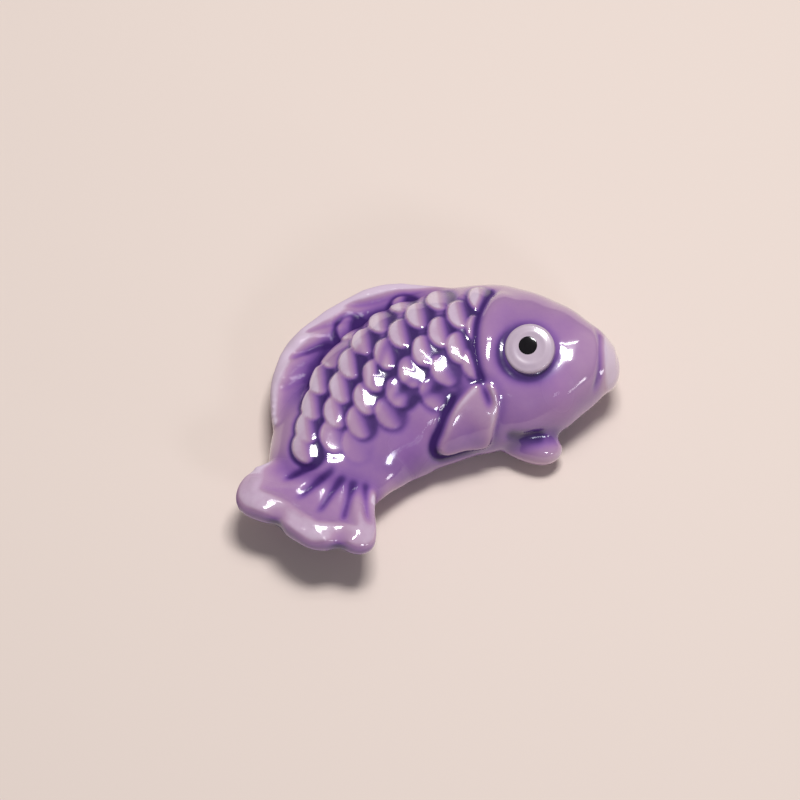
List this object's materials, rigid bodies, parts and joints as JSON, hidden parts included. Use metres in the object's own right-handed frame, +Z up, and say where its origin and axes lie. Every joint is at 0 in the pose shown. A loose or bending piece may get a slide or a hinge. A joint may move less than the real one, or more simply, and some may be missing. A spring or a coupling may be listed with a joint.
{
  "type": "chopstick rest",
  "caption": "Small glazed ceramic chopstick rest in the shape of a carp lying on its side, with a low saddle before its raised tail.",
  "frame": {"origin": "on the table, in the middle of the flat foot, under the spine line of the fish", "axes": "+X along the fish to its head, +Y to its back, +Z up from the table"},
  "size_m": [0.0653, 0.0411, 0.0185],
  "materials": {
    "purple_glaze": "glossy",
    "eye_glaze": "glossy",
    "pupil_black": "glossy",
    "bare_clay": "matte"
  },
  "bodies": {
    "root": {"body": "purple_glaze", "tail_fin": "purple_glaze", "dorsal_fin": "purple_glaze", "pectoral_fin": "purple_glaze", "pelvic_fin": "purple_glaze", "eye": "eye_glaze", "pupil": "pupil_black"}
  },
  "joints": []
}
